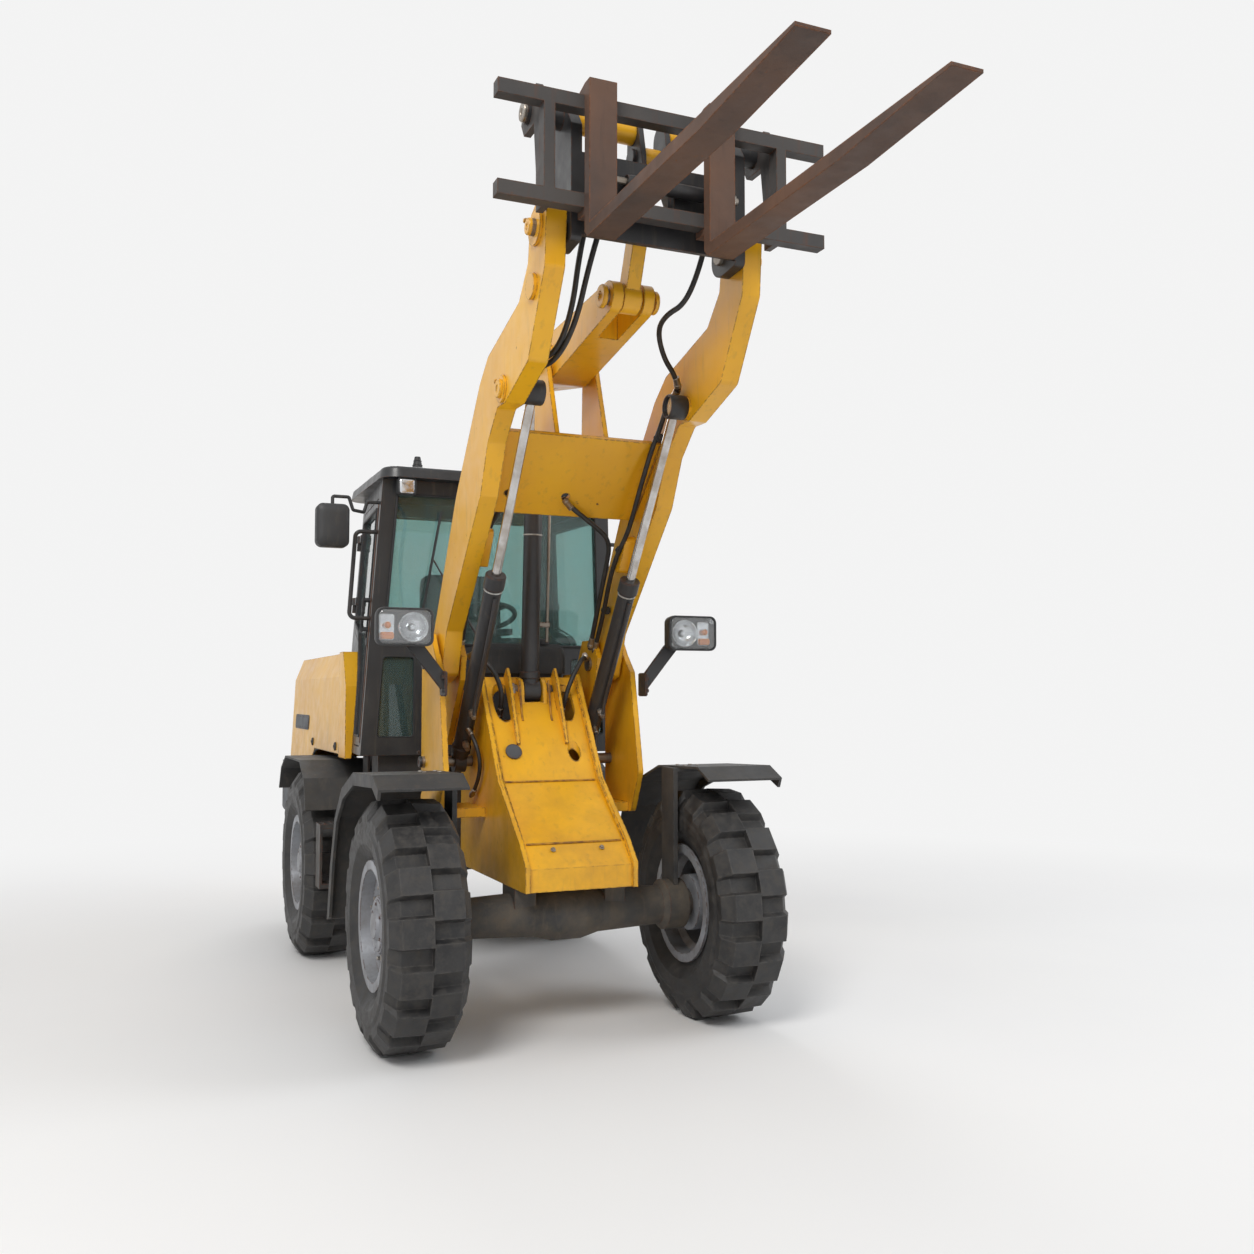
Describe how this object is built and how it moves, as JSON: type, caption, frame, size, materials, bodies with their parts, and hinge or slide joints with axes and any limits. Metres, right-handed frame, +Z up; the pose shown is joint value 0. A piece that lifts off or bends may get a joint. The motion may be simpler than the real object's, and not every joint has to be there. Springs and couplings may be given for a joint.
{
  "type": "compact articulated wheel loader with pallet forks",
  "caption": "Compact articulated wheel loader, its boom raised, carrying a pallet-fork carriage on a parallel-lift linkage.",
  "frame": {"origin": "on the ground, midway between the counterweight's rear face and the fork tips, on the middle plane", "axes": "+Z up, -Y the way the machine drives, +X its left-hand side"},
  "size_m": [1.73, 5.724, 3.462],
  "materials": {
    "black_metal": "satin",
    "dark_grey": "matte",
    "cast_dark": "matte",
    "black_plastic": "matte",
    "cab_black": "satin",
    "cab_pane": "clear",
    "seat_fabric": "matte",
    "frame_yellow": "gloss",
    "red_lens": "gloss",
    "bare_steel": "satin",
    "rusty_steel": "matte",
    "chrome_rod": "polished",
    "rim_silver": "satin",
    "tyre_rubber": "matte"
  },
  "bodies": {
    "rear_frame": {"rear_chassis": "black_metal", "counterweight": "dark_grey", "engine_block": "cast_dark", "rear_axle": "cast_dark", "rear_fenders": "black_plastic", "cab_steps": "black_metal", "cab_frame": "cab_black", "cab_roof": "cab_black", "cab_glass": "cab_pane", "seat": "seat_fabric", "steering_column": "black_plastic", "mirror": "black_plastic", "grab_rails": "black_metal", "beacon": "black_plastic", "work_lights": "black_plastic", "side_panels": "frame_yellow", "tail_lights": "red_lens", "hood_hinges": "black_metal"},
    "front_frame": {"front_frame": "frame_yellow", "loader_towers": "frame_yellow", "frame_pins": "bare_steel", "front_axle": "cast_dark", "front_fenders": "black_plastic", "headlights": "black_plastic"},
    "engine_hood": {"engine_hood": "frame_yellow"},
    "door_left": {"door_left": "cab_black", "door_glass_left": "cab_pane"},
    "door_right": {"door_right": "cab_black", "door_glass_right": "cab_pane"},
    "boom": {"boom": "frame_yellow"},
    "coupler_pins": {"coupler_pins": "bare_steel"},
    "rocker_pin": {"rocker_pin": "bare_steel"},
    "link_pin": {"link_pin": "bare_steel"},
    "rocker": {"rocker": "frame_yellow"},
    "link": {"link": "frame_yellow"},
    "coupler": {"coupler": "black_metal", "fork_carriage": "rusty_steel", "fork_left": "rusty_steel", "fork_right": "rusty_steel"},
    "lift_barrel_left": {"lift_barrel_left": "black_metal"},
    "lift_barrel_right": {"lift_barrel_right": "black_metal"},
    "lift_rod_left": {"lift_rod_left": "chrome_rod"},
    "lift_rod_right": {"lift_rod_right": "chrome_rod"},
    "tilt_barrel": {"tilt_barrel": "black_metal"},
    "tilt_rod": {"tilt_rod": "chrome_rod"},
    "wheel_front_left": {"rim_front_left": "rim_silver", "tyre_front_left": "tyre_rubber"},
    "wheel_front_right": {"rim_front_right": "rim_silver", "tyre_front_right": "tyre_rubber"},
    "wheel_rear_left": {"rim_rear_left": "rim_silver", "tyre_rear_left": "tyre_rubber"},
    "wheel_rear_right": {"rim_rear_right": "rim_silver", "tyre_rear_right": "tyre_rubber"}
  },
  "joints": [
    {"name": "articulation", "type": "hinge", "parent": "rear_frame", "child": "front_frame", "pos_m": [0, 0.51, 0.805], "axis": [0, 0, 1], "range_deg": [-38, 38]},
    {"name": "wheel_front_left", "type": "hinge", "parent": "front_frame", "child": "wheel_front_left", "pos_m": [0.665, -0.465, 0.484], "axis": [-1, 0, 0], "continuous": true},
    {"name": "wheel_front_right", "type": "hinge", "parent": "front_frame", "child": "wheel_front_right", "pos_m": [-0.665, -0.465, 0.484], "axis": [-1, 0, 0], "continuous": true},
    {"name": "wheel_rear_left", "type": "hinge", "parent": "rear_frame", "child": "wheel_rear_left", "pos_m": [0.665, 1.485, 0.484], "axis": [-1, 0, 0], "continuous": true},
    {"name": "wheel_rear_right", "type": "hinge", "parent": "rear_frame", "child": "wheel_rear_right", "pos_m": [-0.665, 1.485, 0.484], "axis": [-1, 0, 0], "continuous": true},
    {"name": "door_left", "type": "hinge", "parent": "rear_frame", "child": "door_left", "pos_m": [0.61096, 1.22069, 1.09078], "axis": [-0.0645, -0.0052, 0.9979], "range_deg": [0, 95]},
    {"name": "door_right", "type": "hinge", "parent": "rear_frame", "child": "door_right", "pos_m": [-0.61096, 1.22069, 1.09078], "axis": [-0.0645, 0.0052, -0.9979], "range_deg": [0, 95]},
    {"name": "engine_hood", "type": "hinge", "parent": "rear_frame", "child": "engine_hood", "pos_m": [0, 2.865, 0.97], "axis": [-1, 0, 0], "range_deg": [0, 50]},
    {"name": "boom_lift", "type": "hinge", "parent": "front_frame", "child": "boom", "pos_m": [0, 0.035, 1.52], "axis": [-1, 0, 0], "range_deg": [-90, 0]},
    {"name": "coupler_level", "type": "hinge", "parent": "boom", "child": "coupler_pins", "pos_m": [0, -1.305, 2.995], "axis": [-1, 0, 0], "range_deg": [0, 90]},
    {"name": "tilt", "type": "hinge", "parent": "coupler_pins", "child": "coupler", "pos_m": [0, -1.305, 2.995], "axis": [1, 0, 0], "range_deg": [-25, 45]},
    {"name": "rocker_follow", "type": "hinge", "parent": "boom", "child": "rocker_pin", "pos_m": [0, -0.475, 2.77], "axis": [-1, 0, 0], "range_deg": [-34, 0]},
    {"name": "rocker_tilt", "type": "hinge", "parent": "rocker_pin", "child": "rocker", "pos_m": [0, -0.475, 2.77], "axis": [1, 0, 0], "range_deg": [-8, 5]},
    {"name": "link_follow", "type": "hinge", "parent": "rocker", "child": "link_pin", "pos_m": [0, -1.13, 2.85], "axis": [-1, 0, 0], "range_deg": [0, 62]},
    {"name": "link_tilt", "type": "hinge", "parent": "link_pin", "child": "link", "pos_m": [0, -1.13, 2.85], "axis": [1, 0, 0], "range_deg": [-19, 33]},
    {"name": "lift_barrel_left", "type": "hinge", "parent": "front_frame", "child": "lift_barrel_left", "pos_m": [0.3, 0.085, 1.08], "axis": [-1, 0, 0], "range_deg": [-82, 0]},
    {"name": "lift_rod_left", "type": "slide", "parent": "lift_barrel_left", "child": "lift_rod_left", "axis": [0, -0.5704, 0.8214], "range_m": [-0.59, 0]},
    {"name": "lift_barrel_right", "type": "hinge", "parent": "front_frame", "child": "lift_barrel_right", "pos_m": [-0.3, 0.085, 1.08], "axis": [-1, 0, 0], "range_deg": [-82, 0]},
    {"name": "lift_rod_right", "type": "slide", "parent": "lift_barrel_right", "child": "lift_rod_right", "axis": [0, -0.5704, 0.8214], "range_m": [-0.59, 0]},
    {"name": "tilt_barrel", "type": "hinge", "parent": "front_frame", "child": "tilt_barrel", "pos_m": [0, -0.01, 1.395], "axis": [-1, 0, 0], "range_deg": [-90, 0]},
    {"name": "tilt_rod", "type": "slide", "parent": "tilt_barrel", "child": "tilt_rod", "axis": [0, -0.0492, 0.9988], "range_m": [-0.1, 0.06]}
  ],
  "couplings": [
    {"joint": "coupler_level", "follows": "boom_lift", "ratio": -1},
    {"joint": "rocker_follow", "follows": "boom_lift", "ratio": 0.3583},
    {"joint": "rocker_tilt", "follows": "tilt", "ratio": -0.1439},
    {"joint": "link_follow", "follows": "boom_lift", "ratio": -0.6859},
    {"joint": "link_tilt", "follows": "tilt", "ratio": 0.7211},
    {"joint": "lift_barrel_left", "follows": "boom_lift", "ratio": 0.9014},
    {"joint": "lift_rod_left", "follows": "boom_lift", "m_per_rad": 0.373},
    {"joint": "lift_barrel_right", "follows": "boom_lift", "ratio": 0.9014},
    {"joint": "lift_rod_right", "follows": "boom_lift", "m_per_rad": 0.373},
    {"joint": "tilt_barrel", "follows": "boom_lift", "ratio": 0.9956},
    {"joint": "tilt_rod", "follows": "tilt", "m_per_rad": -0.06}
  ]
}
